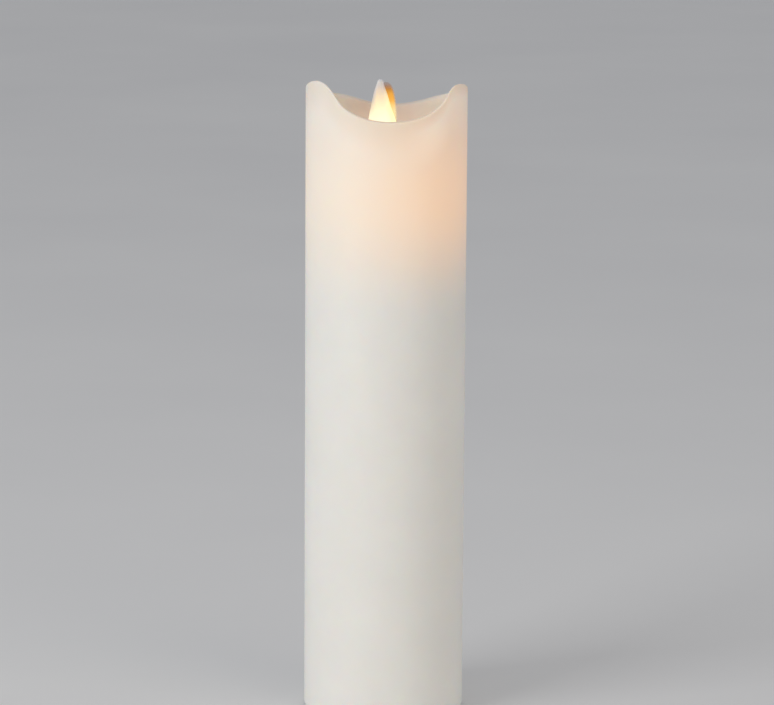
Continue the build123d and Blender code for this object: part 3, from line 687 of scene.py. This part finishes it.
def flame_flank_material():
    """The thin right flank, glowing with painted light: peach at its foot, then amber, thinning out at
    its edge and its top.
    """
    n = Nodes("flame_flank")
    z = n.axes()[2]
    across = n.attribute("across")
    grain = n.noise(500.0, 3.0)
    # Painted light: the emitted colour stands for the lamp's light on the flank.
    amber = n.ramp(
        n.span(z, AMBER_FOOT, FLANK_TOP),
        (0.00, (1.00, 0.88, 0.48)),
        (0.36, (1.00, 0.84, 0.42)),
        (0.50, (1.00, 0.64, 0.20)),
        (0.60, (0.92, 0.44, 0.05)),
        (0.74, (0.84, 0.40, 0.05)),
        (0.88, (0.38, 0.14, 0.02)),
        (1.00, (0.12, 0.04, 0.01)),
        kind="B_SPLINE",
    )
    inwards = n.span(across, 0.55, 1.0, 1, 0, smooth=True)
    downwards = n.span(z, FLANK_TOP - 5.0 * MM, FLANK_TOP, 1, 0.12, smooth=True)
    n.set(
        Base_Color=n.blend(n.span(grain, 0.3, 0.7), (0.15, 0.07, 0.02), (0.20, 0.10, 0.03)),
        Roughness=0.5,
        Specular_IOR_Level=0.2,
        Emission_Color=amber,
        Emission_Strength=0.9,
        Alpha=n.span(n.math("MULTIPLY", inwards, downwards), 0, 1, 0.10, 1.0),
    )
    n.bump(grain, 0.03 * MM)
    return n.material


def oval(centre, height, half_width, half_depth):
    """A level ring of points."""
    turns = [2 * math.pi * i / RING_POINTS for i in range(RING_POINTS)]
    return [
        (centre[0] + half_width * math.cos(t), centre[1] + half_depth * math.sin(t), height)
        for t in turns
    ]


def store_across(mesh):
    """Stores on each point how far across its ring it lies, from -1 at the left to 1."""
    share = mesh.attributes.new("across", "FLOAT", "POINT")
    for i in range(len(mesh.vertices)):
        share.data[i].value = math.cos(2 * math.pi * (i % RING_POINTS) / RING_POINTS)


def blade_section(tree, height):
    """Centre, half width and half depth of the CAD blade's oval, found by rays."""
    aside = 0.55 * MM
    left = tree.ray_cast(Vector((-CLEAR_OF_FLAME, -aside, height)), RIGHT)[0].x
    right = tree.ray_cast(Vector((CLEAR_OF_FLAME, -aside, height)), -RIGHT)[0].x
    centre = (left + right) / 2
    half_depth = -tree.ray_cast(Vector((centre, -CLEAR_OF_FLAME, height)), BACK)[0].y
    return centre, (right - left) / 2 / math.sqrt(1 - (aside / half_depth) ** 2), half_depth


def blade_mesh(tree):
    """The blade: ovals up to the shoulder, then a rounded tip."""
    rings = []
    for step in range(BLADE_STEPS + 1):
        height = BLADE_FOOT + (BLADE_SHOULDER - BLADE_FOOT) * step / BLADE_STEPS
        centre, half_width, half_depth = blade_section(tree, height)
        rings.append(oval((centre, 0), height, half_width, half_depth))
    for step in range(1, TIP_STEPS):
        turn = math.pi / 2 * step / TIP_STEPS
        height = BLADE_SHOULDER + (BLADE_TIP - BLADE_SHOULDER) * math.sin(turn)
        narrowing = math.cos(turn)
        rings.append(oval((centre, 0), height, half_width * narrowing, half_depth * narrowing))
    mesh = mesh_of_rings(rings)
    store_across(mesh)
    return mesh


def fin_edge(tree, height):
    """How far right the CAD fin reaches, drawn inwards below its foot to end inside the blade."""
    measured = min(max(height, FLANK_FOOT), FLANK_TOP)
    edge = tree.ray_cast(Vector((CLEAR_OF_FLAME, FLANK_Y, measured)), -RIGHT)[0].x
    return edge - 0.4 * max(0.0, FLANK_FOOT - height)


def flank_mesh(tree):
    """The thin flank, from inside the blade out to the CAD fin's edge."""
    rings = []
    start = FLANK_FOOT - 4 * MM
    for step in range(FLANK_STEPS + 1):
        height = start + (FLANK_TOP - start) * step / FLANK_STEPS
        centre, half_width, _ = blade_section(tree, height)
        inner = centre + 0.2 * half_width
        outer = max(fin_edge(tree, height), inner + 0.3 * MM)
        middle = ((inner + outer) / 2, FLANK_Y)
        rings.append(oval(middle, height, (outer - inner) / 2, FLANK_HALF_DEPTH))
    mesh = mesh_of_rings(rings)
    store_across(mesh)
    return mesh


def pendulum_mesh(source):
    """The stem, hub, tail and magnet cup: the CAD solid with soft edges, cut off inside the blade."""
    piece = new_piece("pendulum", source.data.copy())
    weld = piece.modifiers.new("weld", "WELD")
    weld.merge_threshold = 0.01 * MM
    remesh = piece.modifiers.new("remesh", "REMESH")
    remesh.mode = "VOXEL"
    remesh.voxel_size = 0.25 * MM
    smooth = piece.modifiers.new("smooth", "SMOOTH")
    smooth.iterations = 4
    graph = bpy.context.evaluated_depsgraph_get()
    result = bpy.data.meshes.new_from_object(piece.evaluated_get(graph))
    bpy.data.objects.remove(piece)
    builder = bmesh.new()
    builder.from_mesh(result)
    cut = bmesh.ops.bisect_plane(
        builder, geom=builder.verts[:] + builder.edges[:] + builder.faces[:],
        plane_co=(0, 0, BLADE_FOOT + 1.2 * MM), plane_no=UP, clear_outer=True,
    )
    rim = [edge for edge in cut["geom_cut"] if isinstance(edge, bmesh.types.BMEdge)]
    bmesh.ops.holes_fill(builder, edges=rim)
    builder.to_mesh(result)
    builder.free()
    open_pivot_bore(result)
    result.shade_smooth()
    return result


def open_pivot_bore(mesh):
    """Moves the hub's bore, which the remesh narrows, back clear of the pivot wire."""
    low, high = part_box("pivot_wire")
    middle = (low + high) / 2
    bore = (high.z - low.z) / 2 + 0.07 * MM
    for vertex in mesh.vertices:
        out = vertex.co - middle
        out.y = 0
        if out.length < bore:
            vertex.co += out.normalized() * (bore - out.length)


def build_flame():
    """The flame moulding: blade, flank and the pendulum below them, in one piece."""
    source = nodes["flame_blade"]
    tree = BVHTree.FromObject(source, bpy.context.evaluated_depsgraph_get())
    body, flank = flame_body_material(), flame_flank_material()
    builder = bmesh.new()
    for mesh, index in ((blade_mesh(tree), 0), (pendulum_mesh(source), 0), (flank_mesh(tree), 1)):
        first = len(builder.faces)
        builder.from_mesh(mesh)
        builder.faces.ensure_lookup_table()
        for face in builder.faces[first:]:
            face.material_index = index
    joined = bpy.data.meshes.new("flame_moulding")
    builder.to_mesh(joined)
    builder.free()
    joined.materials.append(body)
    joined.materials.append(flank)
    return new_piece("flame_moulding", joined)


flame = build_flame()
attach(flame, "flame")
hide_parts("flame_blade")

# ---------------------------------------------------------------- CAD nodes
paint(moulded("sleeve_plastic", (0.80, 0.78, 0.73), 0.5, glow=0.5), "inner_sleeve")
paint(moulded("deck_plastic", (0.075, 0.075, 0.078), 0.5), "deck_plate")
paint(moulded("module_plastic", (0.78, 0.75, 0.68), 0.42), "module_front_half", "module_rear_half")
paint(moulded("base_plastic", (0.72, 0.70, 0.64), 0.48, relief=0.05 * MM), "base_housing")
paint(moulded("door_plastic", (0.74, 0.72, 0.66), 0.46, relief=0.05 * MM), "battery_door")
paint(moulded("knob_plastic", (0.012, 0.012, 0.013), 0.4), "switch_knob")
paint(moulded("switch_plastic", (0.016, 0.016, 0.017), 0.4), "switch_body")
paint(moulded("bobbin_plastic", (0.02, 0.02, 0.022), 0.4), "coil_bobbin")
paint(moulded("connector_nylon", (0.78, 0.75, 0.66), 0.4), "board_header", "wire_plug")
paint(moulded("chip_epoxy", (0.012, 0.012, 0.013), 0.5), "controller_chip", "drive_transistor")
paint(moulded("resistor_ceramic", (0.02, 0.02, 0.022), 0.35), "chip_resistors")
paint(moulded("capacitor_sleeve", (0.012, 0.018, 0.05), 0.3), "board_capacitor")
paint(moulded("foot_rubber", (0.045, 0.045, 0.046), 0.75, 1400.0, 0.08 * MM), "rubber_feet")
paint(board_material(), "control_board")
paint(lamp_material(), "led_emitter")
screws = ("deck_screws", "module_half_screws", "module_tab_screws", "base_screws", "board_screws")
paint(metal("screw_steel", (0.62, 0.62, 0.64), 0.3), *screws)
contacts = ("positive_contact_plate", "negative_contact_plate", "bridge_contact_plate")
springs = ("negative_contact_spring", "bridge_contact_spring")
paint(metal("contact_steel", (0.72, 0.70, 0.66), 0.2), *contacts, *springs)
paint(metal("pivot_steel", (0.66, 0.66, 0.67), 0.22, (1, 12, 1)), "pivot_wire", "door_hinge_pin")
paint(metal("magnet_nickel", (0.72, 0.70, 0.66), 0.15), "flame_magnet")
paint(metal("coil_copper", (0.80, 0.34, 0.14), 0.28, (1, 1, 20)), "coil_winding")
paint(metal("lead_tin", (0.68, 0.68, 0.68), 0.3), "led_leads", "header_pins")
paint(metal("crystal_can", (0.72, 0.72, 0.71), 0.22, (12, 1, 1)), "timer_crystal")
paint(insulation("wire_yellow", (0.75, 0.52, 0.04)), "led_wires")
paint(insulation("wire_white", (0.74, 0.74, 0.72)), "coil_wires")
paint(insulation("wire_red", (0.52, 0.02, 0.015)), "battery_wire_red")
paint(insulation("wire_black", (0.012, 0.012, 0.013)), "battery_wire_black")
paint(cell_material("cell_jacket_rear", "battery_cell_rear", 1), "battery_cell_rear")
paint(cell_material("cell_jacket_front", "battery_cell_front", -1), "battery_cell_front")


# ---------------------------------------------------------------- stage, light and camera
FLOOR_RADIUS = 12.0


def build_floor():
    """A wide pale floor, just under the candle's feet."""
    n = Nodes("pale_floor")
    mist = n.noise(3.0, 4.0)
    n.set(
        Base_Color=n.blend(n.span(mist, 0.3, 0.7), (0.83, 0.84, 0.855), (0.865, 0.875, 0.885)),
        Roughness=n.span(mist, 0.3, 0.7, 0.75, 0.85),
        Specular_IOR_Level=0.2,
    )
    builder = bmesh.new()
    bmesh.ops.create_circle(builder, cap_ends=True, segments=128, radius=FLOOR_RADIUS)
    mesh = bpy.data.meshes.new("floor")
    builder.to_mesh(mesh)
    builder.free()
    mesh.materials.append(n.material)
    floor = bpy.data.objects.new("floor", mesh)
    floor.location.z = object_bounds()[0].z - 0.1 * MM
    bpy.context.scene.collection.objects.link(floor)


def soft_box(name, place, aim, size, power, colour):
    """A square area light pointed at a place."""
    light = bpy.data.lights.new(name, "AREA")
    light.size = size
    light.energy = power
    light.color = colour
    lamp = bpy.data.objects.new(name, light)
    lamp.location = place
    lamp.rotation_euler = (Vector(aim) - Vector(place)).to_track_quat("-Z", "Y").to_euler()
    bpy.context.scene.collection.objects.link(lamp)


def build_camera():
    """A long lens in front of the candle, a little above it, with the slight roll of a hand."""
    distance = 1.85
    pitch = math.radians(10.55)
    roll = math.radians(0.353)
    aim = Vector((0, 0, 0.17))
    forward = Vector((0, math.cos(pitch), -math.sin(pitch)))
    level_up = RIGHT.cross(forward)
    up = level_up * math.cos(roll) - RIGHT * math.sin(roll)
    right = RIGHT * math.cos(roll) + level_up * math.sin(roll)
    turn = Matrix((right, up, -forward)).transposed().to_4x4()
    data = bpy.data.cameras.new("camera")
    data.sensor_width = 36.0
    data.lens = 183.9
    data.shift_x = 0.0024
    data.clip_start = 0.05
    camera = bpy.data.objects.new("camera", data)
    camera.matrix_world = Matrix.Translation(aim - forward * distance) @ turn
    bpy.context.scene.collection.objects.link(camera)
    bpy.context.scene.camera = camera


def build_studio():
    """Even, faintly cool light from all round."""
    world = bpy.data.worlds.new("studio")
    world.use_nodes = True
    background = world.node_tree.nodes["Background"]
    background.inputs["Color"].default_value = (0.98, 0.98, 1.0, 1)
    background.inputs["Strength"].default_value = 0.42
    bpy.context.scene.world = world
    bpy.context.scene.view_settings.view_transform = "Standard"


build_floor()
soft_box("key_light", (-1.67, -1.41, 0.85), (0, 0, 0.15), 1.3, 21.2, (1.0, 0.99, 0.97))
soft_box("fill_light", (1.45, -1.58, 0.8), (0, 0, 0.15), 1.6, 7.9, (1.0, 0.89, 0.74))
build_camera()
build_studio()
